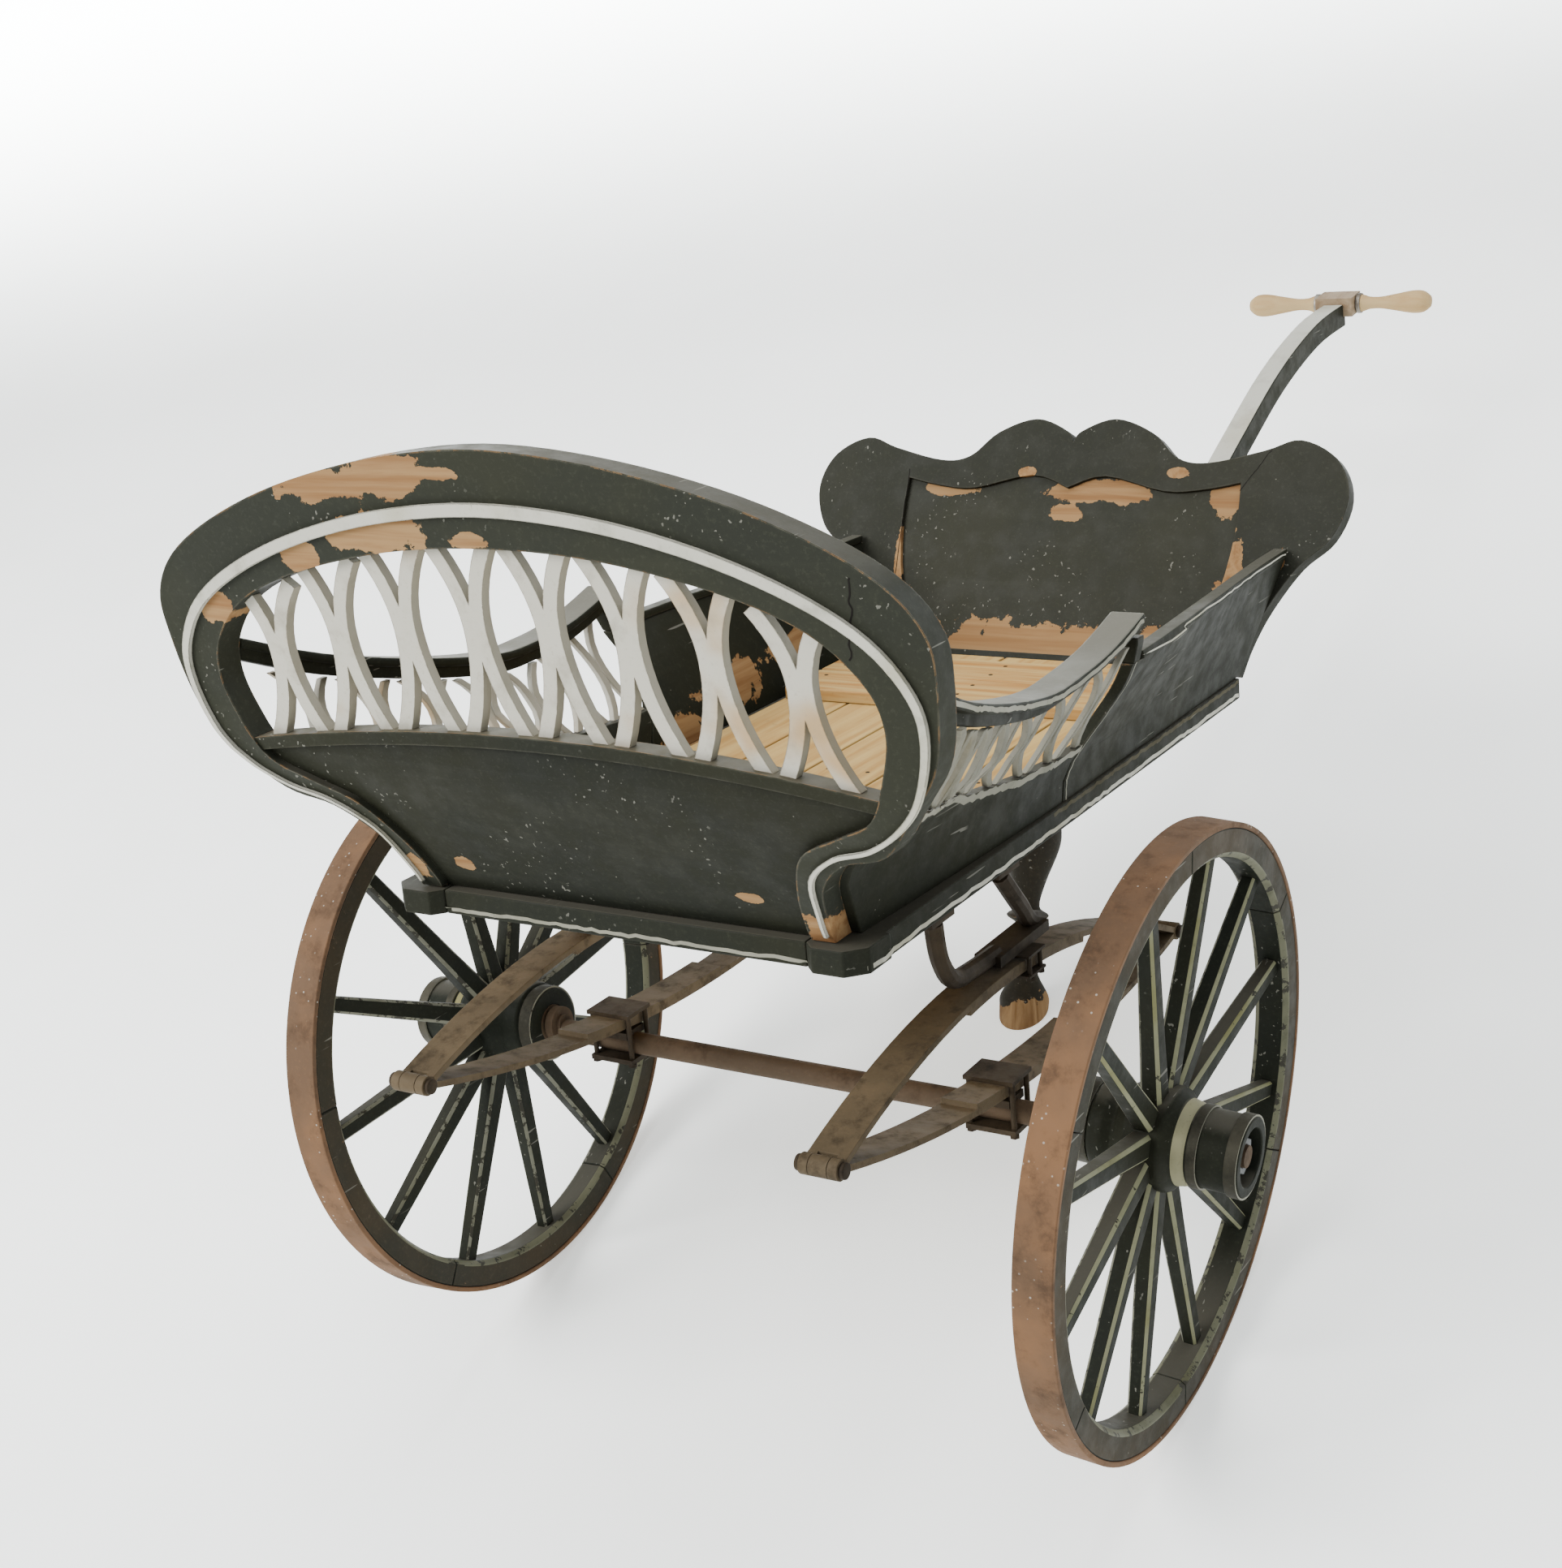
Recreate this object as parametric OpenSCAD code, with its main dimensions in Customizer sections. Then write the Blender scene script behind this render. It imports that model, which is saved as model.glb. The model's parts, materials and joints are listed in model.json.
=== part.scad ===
/* [Wheels] */
// Outer radius of the iron tyre
wheel_r = 280; // [260:1:300]
// Width of the tyre across the tread
tyre_w = 35; // [30:1:40]
// Thickness of the iron tyre
tyre_t = 5; // [3:1:8]
// Radial depth of the wooden felloes
felloe_d = 26; // [22:1:30]
// Number of felloes in one wheel
felloe_count = 6; // [4:1:6]
// Number of spokes in one wheel
spoke_count = 12; // [10:2:12]
// Angle of the first spoke of the right wheel, in degrees
right_spoke_turn = 5; // [0:1:30]
// Angle of the first spoke of the left wheel, in degrees
left_spoke_turn = 16; // [0:1:30]
// Outward lean of the top of each wheel, in degrees
camber = 3.7; // [2:0.1:4.5]
// Distance from the middle of the carriage to the rim of a wheel, at the axle
half_track = 375; // [370:1:385]
// How far the spokes start inboard of the rim
dish = 11; // [6:1:14]

/* [Hub and axle] */
// Radius of the hub at the spokes
hub_r = 47; // [44:1:50]
// Radius of the axle's journals
journal_r = 10; // [9:0.5:11]
// Radial running clearance between a journal and its bush
journal_gap = 0.05; // [0.02:0.01:0.1]
// Radius of the axle bar between the wheels
axle_r = 11; // [11:0.5:12]

/* [Springs] */
// Distance from the middle of the carriage to a spring
spring_x = 210; // [205:1:215]
// Width of the spring leaves
leaf_w = 36; // [30:1:38]
// Thickness of the long leaf
leaf_t = 6; // [5:0.5:7]
// Rise of the upper leaf above the line between its eyes
upper_rise = 72; // [60:1:75]
// Sag of the lower leaf below the line between its eyes
lower_sag = 40; // [36:1:42]
// How far the springs let the axle come up towards the body
spring_travel = 25; // [15:1:30]

/* [Tub] */
// Height of the underside of the sills above the axle's centre
sill_z = 233; // [225:1:240]
// Depth of the sills
sill_h = 22; // [18:1:24]
// Half width over the sills
sill_half = 235; // [232:1:238]
// Thickness of the front hoop
hoop_t = 26; // [20:1:30]
// Thickness of the curved side panels
panel_t = 12; // [10:1:14]
// Number of floor boards
board_count = 5; // [4:1:6]
// Number of crossed pairs of bars in the front lattice
front_pairs = 8; // [8:1:8]
// Number of crossed pairs of bars in an arm lattice
arm_pairs = 7; // [6:1:7]
// Backward lean of the back board, in degrees
back_lean = 25; // [23:1:27]

/* [Handle and leg] */
// Width of the handle pole
pole_w = 29; // [26:1:34]
// Depth of the handle pole
pole_d = 32; // [28:1:36]
// Half length of the cross handle
handle_half = 136; // [125:1:145]
// Forward lean of the prop leg towards its foot, in degrees
leg_lean = 12; // [11.5:0.1:12.5]

/* [Parking] */
// Tilt of the body when the leg's foot is on the ground, in degrees
park_tilt = 19.3; // [19:0.1:19.6]

/* [Hidden] */
$fn = 48;
gap = 0.3;

// Place of the parked carriage: the wheels and the foot touch the plane z = 0
axis_drop = sin(camber) * cos(park_tilt);
axle_h = wheel_r * sqrt(1 - axis_drop * axis_drop) + tyre_w / 2 * axis_drop;
middle_shift = -720.1;

// Levels of the tub, above the axle's centre
sill_top = sill_z + sill_h;
floor_z = 250;
floor_t = 12;
plank_t = 13;
front_y = -268;
rear_y = 560;
panel_foot = sill_top + gap;

// Side view of the hoop's front face, as height and depth
hoop_side = [[240, -248], [262, -258], [300, -280], [350, -311], [395, -333], [470, -347],
    [670, -378], [700, -383]];
// Front view of half the hoop, from the top of its arch down to its foot
hoop_outer = [[0, 662], [100, 653], [200, 631], [280, 602], [335, 571], [363, 537], [367, 500], [358, 440],
    [333, 400], [296, 356], [252, 341], [222, 311], [211, 270], [210, 256]];
hoop_inner = [[0, 585], [100, 579], [200, 559], [270, 532], [309, 496], [320, 462], [312, 425], [294, 388],
    [258, 368], [218, 346], [196, 305], [188, 270], [188, 256]];
touch_at = 0.56;
hoop_inner_top = [for (i = [0:4]) hoop_inner[i]];
moulding_line = [[0, 616], [100, 608], [190, 588], [265, 560], [318, 528], [347, 490], [352, 455], [340, 412],
    [318, 384], [285, 361], [248, 348], [218, 322], [207, 280], [205, 262]];
// Half width of the moulding at each height
moulding_half = [[262, 1.6], [380, 2.1], [470, 3.4], [560, 4.8], [616, 5.3]];
// Front view of the tub's side at the hoop, as height and half width
side_front = [[240, 210], [270, 212], [311, 222], [341, 252], [356, 296], [400, 333], [440, 358], [500, 366]];
// The same at the front edge of the rear side panels, where the side swells out again
side_mid = [[255, 232], [275, 233], [290, 237], [305, 245], [320, 254], [335, 264], [350, 274], [365, 284],
    [380, 292], [400, 299], [430, 304]];

// Height of the arched rail under the front lattice
rail_mid = 430;
rail_drop = 22;
rail_half = 290;
rail_h = 12;

// Arm side: top of the low panel as depth and height, then the arm rail's line and its section
low_top = [[-330, 398], [-300, 384], [-200, 352], [-100, 328], [0, 313], [110, 305]];
arm_line = [[330, -319, 491], [315, -240, 458], [299, -137, 428], [286, -40, 408], [283, 20, 407],
    [283, 70, 411], [284, 110, 419], [285, 151, 430]];
arm_start = -277;
arm_run = 415;
bar_reach = 22;
post_y = 144;
arm_section = [[20, -11], [20, -2], [-13, -2], [-13, -10], [-8, -11], [-8, -22], [5, -22], [5, -11]];
// Rear side panel: its front edge as height and depth, and its top edge as depth and height
rear_front = [[250, 118], [275, 120], [290, 129], [305, 141], [320, 152], [350, 160], [365, 155], [380, 150]];
rear_top = [[150, 380], [300, 379.6], [400, 376.4], [500, 375], [640, 374]];
rear_panel_y = 150;

// Back board, half outline in its own plane
back_y = 568;
back_t = 20;
back_outline = [[0, 260], [9, 273], [49, 287], [95, 271], [128, 243], [165, 238], [226, 252], [266, 264],
    [308, 243], [325, 203], [312, 158], [280, 126], [252, 80], [236, 40], [228, 6]];
panel_outline = [[0, 207], [45, 221], [117, 205], [165, 208], [204, 216]];
panel_side = [[204, 216], [205, 160], [194, 90], [165, 16]];

// Pole, seen from the side as depth and height of its middle line
pole_line = [[300, 213], [430, 213], [560, 217], [740, 235], [950, 289], [1170, 388], [1330, 457],
    [1480, 499], [1602, 513]];
leg_y = 545;
leg_top = pole_line[2][1] - pole_d / 2 - gap;
leg_len = (axle_h + leg_top * cos(park_tilt) - leg_y * sin(park_tilt)) / cos(leg_lean + park_tilt);
handle_y = 1619;
handle_z = 527;

// Springs: the two eyes, as depth and height
eye_front = [-303, 86];
eye_rear = [385, 30];
eye_r = 9;
bolt_r = 4.5;
top_clamp_y = 45;
// Room over the stacked leaves of the lower spring, which slope under the clip's plate
slope_room = 7.5;

// A smooth curve through hand-set points
function curve_point(a, b, c, d, t) =
    0.5 * (2 * b + (c - a) * t + (2 * a - 5 * b + 4 * c - d) * t * t + (3 * b - a - 3 * c + d) * t * t * t);
function smooth(p, steps = 5) = [
    for (i = [0:len(p) - 2])
        for (k = [0:steps - 1])
            curve_point(p[max(i - 1, 0)], p[i], p[i + 1], p[min(i + 2, len(p) - 1)], k / steps),
    p[len(p) - 1]
];
// The same curve for half a symmetric outline that starts level at its middle
function smooth_half(p, steps = 5) =
    let(q = smooth(concat([[-p[1][0], p[1][1]]], p), steps)) [for (i = [steps:len(q) - 1]) q[i]];
function flipped(p) = [for (i = [len(p) - 1:-1:0]) if (abs(p[i][0]) > 0.01) [-p[i][0], p[i][1]]];
function both_sides(p) = concat(p, flipped(p));
function backwards(p) = [for (i = [len(p) - 1:-1:0]) p[i]];
function mix(a, b, t) = a + (b - a) * t;
function unit(v) = v / norm(v);
function heading(p, i) = unit(p[min(i + 1, len(p) - 1)] - p[max(i - 1, 0)]);
function beside(p, shift) = [
    for (i = [0:len(p) - 1])
        let(d = heading(p, i)) p[i] + shift * [-d[1], d[0]]
];
function beside_by_height(p, side) = [
    for (i = [0:len(p) - 1])
        let(d = heading(p, i)) p[i] + side * lookup(p[i][1], moulding_half) * [-d[1], d[0]]
];
function ribbon(p, low, high) = concat(beside(p, low), backwards(beside(p, high)));

// Heights and depths that several pieces share
function hoop_y(z) = lookup(z, hoop_side);
function rail_z(x) = rail_mid - rail_drop * (x / rail_half) * (x / rail_half);
function plain_side(z) = sill_half - 3 + (z - sill_top) * 0.28;
function low_height(t) = lookup(mix(-300, rear_panel_y, t), low_top);
function bow(y) = pow(min(max((140 - y) / 470, 0), 1), 1.6);
function ease(t) = let(s = min(max(t, 0), 1)) s * s * (3 - 2 * s);
function swell(y) =
    y < rear_panel_y ? ease((y + 60) / (rear_panel_y + 60)) : 1 - ease((y - rear_panel_y) / 470);
function side_x(y, z) =
    mix(mix(plain_side(z), lookup(z, side_mid), swell(y)), lookup(z, side_front), bow(y));
function back_face(z) = back_y + (z - floor_z) * tan(back_lean);

// Ends of the low panel as height and depth, the line an arm's bars stand on, and the rail over them
low_front = [for (s = hoop_side) [s[0], s[1] + hoop_t + gap]];
low_rear = [for (s = rear_front) [s[0], s[1] - 2]];
arm_foot = [
    for (t = [0:0.0625:1])
        let(z = low_height(t)) [mix(lookup(z, low_front), lookup(z, low_rear), t), z]
];
rail_curve = smooth(arm_line, 4);
arm_under = [for (p = rail_curve) [p[1], p[2] - 22]];
function bar_foot(y) = max(lookup(y - 6, arm_foot), lookup(y + 6, arm_foot)) + gap;
function bar_head(y) = min(lookup(y - 6, arm_under), lookup(y + 6, arm_under)) - gap;

// Stands the carriage on its wheels and its leg
module park() {
    translate([0, middle_shift, axle_h]) rotate([-park_tilt, 0, 0]) children();
}
module mirrored(side) {
    mirror([side > 0 ? 0 : 1, 0, 0]) children();
}
// A front-view outline made deep, and a side-view outline made wide
module front_slab(outline) {
    rotate([90, 0, 0]) translate([0, 0, 100]) linear_extrude(400) polygon(outline);
}
module side_slab(outline, x0, x1) {
    translate([x0, 0, 0]) rotate([90, 0, 90]) linear_extrude(x1 - x0) polygon(outline);
}
// The hoop's curved layer, between two depths behind its front face
module hoop_layer(near, far) {
    face = [for (s = smooth(hoop_side, 3)) [s[1], s[0]]];
    shape = concat([for (p = face) p + [near, 0]], backwards([for (p = face) p + [far, 0]]));
    side_slab(shape, -400, 400);
}
// A closed skin over rings that have the same number of points. A ladder closes thin curved ends with rungs
module loft(rings, ladder = false) {
    n = len(rings[0]);
    last = (len(rings) - 1) * n;
    sides = [
        for (j = [0:len(rings) - 2])
            for (i = [0:n - 1])
                let(a = j * n + i, b = j * n + (i + 1) % n)
                    each [[a, b, b + n], [a, b + n, a + n]]
    ];
    flat_caps = [[for (i = [n - 1:-1:0]) i], [for (i = [0:n - 1]) last + i]];
    rungs = [for (k = [0:n / 2 - 2]) [k, k + 1, n - 2 - k, n - 1 - k]];
    rung_caps = concat([for (r = rungs) backwards(r)], [for (r = rungs) r + last * [1, 1, 1, 1]]);
    polyhedron([for (ring = rings) each ring], concat(sides, ladder ? rung_caps : flat_caps));
}
// A round bar along a path of points
module bent_rod(path, r) {
    loft([
        for (i = [0:len(path) - 1])
            let(d = heading(path, i), u = unit(cross(d, [1, 0.02, 0])), v = cross(u, d))
                [for (a = [0:36:324]) path[i] + r * cos(a) * u + r * sin(a) * v]
    ]);
}
module bolt(length, r) {
    cylinder(h = length, r = r);
    translate([0, 0, length]) cylinder(h = r * 1.2, r = r * 1.8, $fn = 6);
}

// Tub
module side_sill(side) {
    color("darkslategray") mirrored(side) park() difference() {
        union() {
            translate([sill_half - 30, front_y + 8, sill_z]) cube([30, rear_y - front_y - 8, sill_h]);
            translate([184, front_y, sill_z]) cube([54, 50, sill_h]);
        }
        translate([238, front_y, sill_z - 1]) rotate([0, 0, 45]) cube([22, 22, 60], center = true);
        translate([184, front_y, sill_z - 1]) rotate([0, 0, 45]) cube([14, 14, 60], center = true);
    }
}
module front_sill() {
    color("darkslategray") park() translate([-183.7, front_y + 10, sill_z]) cube([367.4, 30, sill_h]);
}
module rear_sill() {
    color("darkslategray") park()
        translate([-204.7, rear_y - 34, sill_z]) cube([409.4, 34, floor_z - sill_z]);
}
module floor_boards() {
    pitch = 409 / board_count;
    color("burlywood") park()
        for (i = [0:board_count - 1])
            translate([-204.5 + i * pitch + 1.5, front_y + 51, floor_z])
                cube([pitch - 3, rear_y - front_y - 51, floor_t]);
}
module rear_planks() {
    color("burlywood") park()
        for (y = [342, 421])
            translate([-200, y, floor_z + floor_t + gap]) cube([400, 76, plank_t]);
}
module floor_battens() {
    color("tan") park()
        for (y = [-120, 110, 340])
            translate([-204.7, y, sill_z]) cube([409.4, 45, floor_z - sill_z]);
}
module front_panel() {
    top = [for (x = [-300:20:300]) [x, rail_z(x) - rail_h]];
    color("darkslategray") park() intersection() {
        front_slab(concat([[-300, sill_top + gap]], top, [[300, sill_top + gap]]));
        front_slab(both_sides(smooth_half(hoop_inner)));
        hoop_layer(8, 18);
    }
}
module front_hoop() {
    color("darkslategray") park() intersection() {
        difference() {
            front_slab(both_sides(smooth_half(hoop_outer)));
            translate([0, 1, 0]) front_slab(both_sides(smooth_half(hoop_inner)));
            translate([0, -1, 0]) front_slab(both_sides(smooth_half(hoop_inner)));
        }
        hoop_layer(0, hoop_t);
    }
}
module hoop_moulding() {
    line = smooth_half(moulding_line);
    outer = beside_by_height(line, -1);
    inner = beside_by_height(line, 1);
    color("ivory") park() intersection() {
        for (side = [1, -1]) mirrored(side) front_slab(concat(outer, backwards(inner)));
        hoop_layer(-4, 0);
    }
}
module front_rail() {
    top = [for (x = [-320:20:320]) [x, rail_z(x)]];
    low = [for (x = [320:-20:-320]) [x, rail_z(x) - rail_h]];
    color("darkslategray") park() intersection() {
        front_slab(concat(top, low));
        front_slab(both_sides(smooth_half(hoop_inner)));
        hoop_layer(2, 24);
    }
}
// One bar of the front lattice: it bends towards its partner a little over half way up
module lattice_bar(x, bend) {
    low = rail_z(x) - 8;
    high = lookup(abs(x), hoop_inner_top) + 8;
    line = [
        for (t = [0:0.0625:1])
            let(away = t < touch_at ? 1 - t / touch_at : (t - touch_at) / (1 - touch_at))
                [x + bend * (4.6 + 26 * away * away), mix(low, high, t)]
    ];
    front_slab(ribbon(line, -6.5, 6.5));
}
module front_lattice() {
    pitch = 574 / front_pairs;
    clear_of_rail = [for (x = [-330:20:330]) [x, rail_z(x)]];
    color("gainsboro") park() intersection() {
        for (i = [0:front_pairs - 1]) {
            x = (i - (front_pairs - 1) / 2) * pitch;
            lattice_bar(x, -1);
            lattice_bar(x, 1);
        }
        front_slab(both_sides(smooth_half(hoop_inner)));
        front_slab(concat(clear_of_rail, [[330, 700], [-330, 700]]));
        hoop_layer(8, 17);
    }
}
// Upright cut through a side panel: up its outer face and down its inner face
function panel_ring(y0, y1, t, z1, rows) =
    let(z = [for (k = [0:rows]) mix(panel_foot, z1, k / rows)])
    let(face = [for (h = z) let(y = mix(lookup(h, y0), lookup(h, y1), t)) [side_x(y, h), y, h]])
    concat(face, backwards([for (p = face) p - [panel_t, 0, 0]]));
module low_panel(side) {
    color("darkslategray") mirrored(side) park() loft([
        for (t = [0:0.0625:1]) panel_ring(low_front, low_rear, t, low_height(t), 10)
    ], true);
}
module rear_panel(side) {
    rear = [for (z = [250, 400]) [z, back_face(z) - gap]];
    color("darkslategray") mirrored(side) park() loft([
        for (t = [0:0.0625:1])
            panel_ring(rear_front, rear, t, lookup(mix(rear_panel_y, 622, t), rear_top), 14)
    ], true);
}
module top_rail(side) {
    color("darkslategray") mirrored(side) park() loft([
        for (t = [0:0.125:1])
            let(y = mix(post_y + 24, 621, t), z = lookup(y, rear_top) + 2 * gap)
            let(x = side_x(y, z) - panel_t / 2)
                [[x + 9, y, z], [x + 8, y + 3 * t, z + 8], [x - 7, y + 3 * t, z + 8], [x - 8, y, z]]
    ]);
}
module arm_rail(side) {
    color("darkslategray") mirrored(side) park() loft([
        for (p = rail_curve) [for (c = arm_section) p + [c[0], 0, c[1]]]
    ]);
}
// Horn that carries the rear end of an arm rail on the rear panel's front corner
module arm_post(side) {
    head = lookup(post_y, arm_under) - gap;
    foot = lookup(post_y, rear_top) + gap;
    color("darkslategray") mirrored(side) park() loft([
        for (t = [0:0.25:1])
            let(y = mix(post_y + 7, post_y, t), z = mix(foot, head, t), x = side_x(y, z))
                [[x, y, z], [x, y + 15, z], [x - 16, y + 15, z], [x - 16, y, z]]
    ]);
}
// One bar of an arm lattice, from the low panel up to the arm rail
module arm_bar(y0, bend) {
    foot = bar_foot(y0 + bend * bar_reach);
    head = bar_head(y0 + bend * bar_reach);
    loft([
        for (t = [-1:0.25:1])
            let(y = y0 + bend * mix(4.6, bar_reach, t * t), z = mix(foot, head, (t + 1) / 2))
            let(x = side_x(y, z) - 2)
                [[x, y - 4.5, z], [x, y + 4.5, z], [x - 6, y + 4.5, z], [x - 6, y - 4.5, z]]
    ]);
}
module arm_lattice(side) {
    pitch = arm_run / arm_pairs;
    color("gainsboro") mirrored(side) park()
        for (i = [0:arm_pairs - 1]) {
            y0 = arm_start + (i + 0.5) * pitch;
            arm_bar(y0, -1);
            arm_bar(y0, 1);
        }
}
module on_back() {
    translate([0, back_y, floor_z]) rotate([90 - back_lean, 0, 0]) children();
}
module back_frame() {
    opening = both_sides(concat(smooth(panel_outline, 4), smooth(panel_side, 3)));
    color("darkslategray") park() on_back() translate([0, 0, -back_t])
        difference() {
            linear_extrude(back_t) polygon(both_sides(smooth(back_outline, 5)));
            translate([0, 0, -1]) linear_extrude(back_t + 2) polygon(opening);
        }
}
module back_panel() {
    outline = both_sides(concat(smooth(panel_outline, 4), smooth(panel_side, 3)));
    color("dimgray") park() on_back() translate([0, 0, -14]) linear_extrude(9) polygon(outline);
}

// Handle and leg
module pole_slab(low, high, half) {
    side_slab(ribbon(smooth(pole_line, 5), low, high), -half, half);
}
module block_shape(extra) {
    translate([-27 - extra, -26 - extra, -13 - extra]) cube([54, 42, 27] + 2 * extra * [1, 1, 1]);
}
module handle_pole() {
    color("darkslategray") park() difference() {
        pole_slab(-pole_d / 2, pole_d / 2, pole_w / 2);
        at_handle() block_shape(gap);
    }
}
module at_handle() {
    translate([0, handle_y, handle_z]) rotate([8, 0, 0]) children();
}
module handle_block() {
    color("peru") park() at_handle() difference() {
        block_shape(0);
        rotate([0, 90, 0]) cylinder(h = 80, r = 9.1, center = true);
    }
}
module grip(side) {
    half = smooth([[12, 27.3], [12, 36], [9, 46], [8.5, 62], [12, 84], [16, 108], [15, 124],
        [8, handle_half - 2]], 4);
    color("wheat") mirrored(side) park() at_handle() rotate([0, 90, 0])
        rotate_extrude() polygon(concat([[0, 1], [9, 1], [9, 27.3]], half, [[0, handle_half]]));
}
module grip_rings() {
    color("silver") park() at_handle()
        for (side = [1, -1]) mirrored(side) rotate([0, 90, 0]) translate([0, 0, 28]) difference() {
            cylinder(h = 6, r = 14.5);
            translate([0, 0, -1]) cylinder(h = 8, r = 12.2);
        }
}
module prop_leg() {
    foot_cut = leg_lean + park_tilt;
    half = smooth([[27, -20], [28, 6], [27, 20], [15, 42], [12, 60], [13, 76], [24, 84], [13, 93],
        [13, 103], [24, 112], [13, 122], [19, 150], [33, 190], [34, 215], [27, 260], [22, 300],
        [24, 326]], 4);
    color("darkslategray") park() difference() {
        translate([0, leg_y, leg_top]) rotate([-leg_lean, 0, 0]) translate([0, 0, -leg_len]) difference() {
            rotate_extrude() polygon(concat([[0, -20]], half, [[24, leg_len + 8], [0, leg_len + 8]]));
            rotate([foot_cut, 0, 0]) translate([0, 0, -50]) cube([120, 120, 100], center = true);
        }
        pole_slab(-pole_d / 2 - gap, 60, 60);
    }
}

// Irons and springs
module body_irons(side) {
    front = [[222, -120, 224], [221, -112, 190], [217, -85, 160], [211, -40, 149], [spring_x, 10, 146]];
    rear = [[222, 4, 224], [221, 26, 200], [217, 52, 176], [211, 76, 156], [spring_x, 100, 146]];
    color("saddlebrown") mirrored(side) park() {
        bent_rod(smooth(front, 4), 8.5);
        bent_rod(smooth(rear, 4), 8.5);
        for (y = [-120, 4])
            translate([207, y - 20, sill_z - 6.3]) cube([25, 40, 6]);
        translate([spring_x, top_clamp_y, 144.5]) cube([26, 100, 10], center = true);
    }
}
module top_clamp(side) {
    color("saddlebrown") mirrored(side) park() translate([spring_x, top_clamp_y, 0]) {
        translate([-24, -17, 136.2]) cube([48, 34, 2.5]);
        translate([-24, -17, 117]) cube([48, 34, 2.5]);
        for (x = [-21.2, 21.2])
            for (y = [-11, 11])
                translate([x, y, 138]) rotate([180, 0, 0]) bolt(21.5, 2.2);
    }
}
function chord(t) = mix(eye_front, eye_rear, (t + 1) / 2);
function leaf_line(rise, reach) = [for (t = [-reach:reach / 12:reach]) chord(t) + [0, rise * (1 - t * t)]];
module leaf(rise, eyes, notches) {
    under = rise > 0 ? -1 : 1;
    short_line = leaf_line(rise, 0.34);
    difference() {
        union() {
            side_slab(ribbon(leaf_line(rise, 0.975), -leaf_t / 2, leaf_t / 2), -leaf_w / 2, leaf_w / 2);
            side_slab(ribbon(short_line, under * (leaf_t / 2 - 0.5), under * (leaf_t / 2 + 5)),
                -leaf_w / 2, leaf_w / 2);
            for (e = [eye_front, eye_rear])
                for (x = eyes)
                    translate([x[0], e[0], e[1]]) rotate([0, 90, 0]) cylinder(h = x[1] - x[0], r = eye_r);
        }
        for (e = [eye_front, eye_rear]) {
            for (x = notches)
                translate([x[0], e[0] - eye_r - 2, e[1] - eye_r - 2])
                    cube([x[1] - x[0], 2 * eye_r + 4, 2 * eye_r + 4]);
            translate([-30, e[0], e[1]]) rotate([0, 90, 0]) cylinder(h = 60, r = bolt_r + 0.1);
        }
    }
}
module upper_spring(side) {
    color("sienna") mirrored(side) park() translate([spring_x, 0, 0])
        leaf(upper_rise, [[-leaf_w / 2, leaf_w / 2]], [[-9, 9]]);
}
module lower_spring(side) {
    color("sienna") mirrored(side) park() translate([spring_x, 0, 0])
        leaf(-lower_sag, [[-8.5, 8.5]], [[-30, -8.5], [8.5, 30]]);
}
module spring_bolts() {
    color("gray") park()
        for (side = [1, -1])
            for (e = [eye_front, eye_rear])
                mirrored(side) translate([spring_x, e[0], e[1]]) rotate([0, 90, 0]) {
                    cylinder(h = leaf_w + 2, r = bolt_r, center = true);
                    for (end = [-1, 1])
                        translate([0, 0, end * (leaf_w / 2 + 2.5)]) cylinder(h = 4, r = 7, center = true);
                }
}

// Axle
module at_wheel(side) {
    mirrored(side) park() translate([half_track, 0, 0]) rotate([0, camber, 0]) children();
}
module along_axis(from, to, r) {
    translate([from, 0, 0]) rotate([0, 90, 0]) cylinder(h = to - from, r = r);
}
module axle_clip(side) {
    seat_top = lookup(0, leaf_line(-lower_sag, 1)) - leaf_t / 2;
    bolt_y = axle_r + 3.4;
    plate_reach = bolt_y + 5;
    color("saddlebrown") mirrored(side) park() translate([spring_x, 0, 0]) {
        translate([-leaf_w / 2, -15, axle_r - 3]) difference() {
            cube([leaf_w, 30, seat_top - axle_r - 0.6]);
            translate([-1, 15, 3 - axle_r]) rotate([0, 90, 0]) cylinder(h = 60, r = axle_r + 0.1);
        }
        translate([-25, -plate_reach, seat_top + leaf_t + slope_room]) cube([50, 2 * plate_reach, 4]);
        translate([-25, -plate_reach, -axle_r - 5.2]) cube([50, 2 * plate_reach, 5]);
        for (x = [-21.6, 21.6])
            for (y = [-bolt_y, bolt_y])
                translate([x, y, seat_top + leaf_t + slope_room + 3.6]) rotate([180, 0, 0])
                    bolt(seat_top + leaf_t + slope_room + axle_r + 8.8, 2.6);
    }
}
module axle() {
    color("rosybrown") {
        park() along_axis(-294, 294, axle_r);
        for (side = [1, -1]) {
            at_wheel(side) along_axis(-96, 70, journal_r);
            at_wheel(side) along_axis(-92, -83, 18);
        }
    }
}
module axle_nuts() {
    color("silver")
        for (side = [1, -1])
            at_wheel(side) difference() {
                translate([56, 0, 0]) rotate([0, 90, 0]) cylinder(h = 11, r = 18, $fn = 6);
                along_axis(50, 80, journal_r + 0.1);
            }
}

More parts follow.
